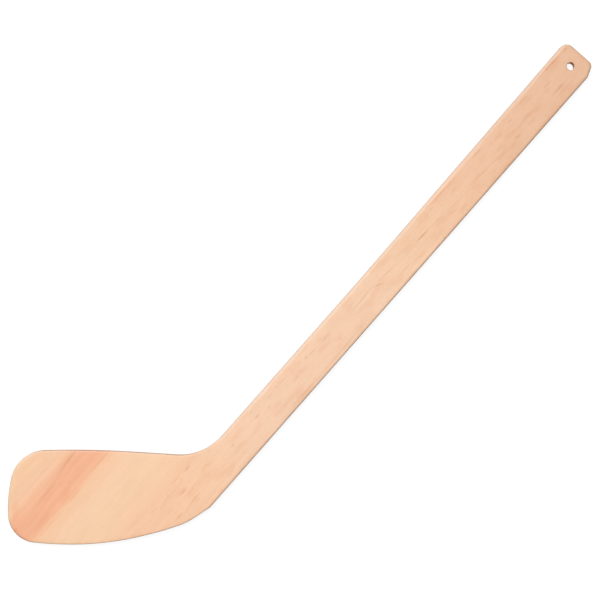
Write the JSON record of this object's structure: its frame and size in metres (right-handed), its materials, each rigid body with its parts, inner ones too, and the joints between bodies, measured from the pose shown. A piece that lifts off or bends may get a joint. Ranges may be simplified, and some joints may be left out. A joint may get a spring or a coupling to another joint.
{
  "type": "ice hockey stick",
  "caption": "Small flat wooden hockey stick in bare wood: straight shaft with rounded edges, rounded blade at an angle, and a hanging hole through the butt.",
  "frame": {"origin": "in the plane of the back face, under the middle of the whole stick's box", "axes": "+X along the shaft from the heel to the butt, +Y across the shaft towards the tip of the blade, +Z out of the front face"},
  "size_m": [0.5692, 0.1346, 0.01],
  "materials": {
    "shaft_wood": "bare, sanded smooth, grain along the shaft, short dark pores",
    "blade_wood": "bare, sanded smooth, pale and nearly plain",
    "toe_wood": "bare, sanded smooth, salmon heartwood band turning tan towards the tip",
    "dried_glue": "film of dried wood glue, sanded flush"
  },
  "bodies": {
    "root": {"shaft_stave": "shaft_wood", "heel_glue_line": "dried_glue", "blade_stave": "blade_wood", "toe_glue_line": "dried_glue", "toe_stave": "toe_wood"}
  },
  "joints": []
}
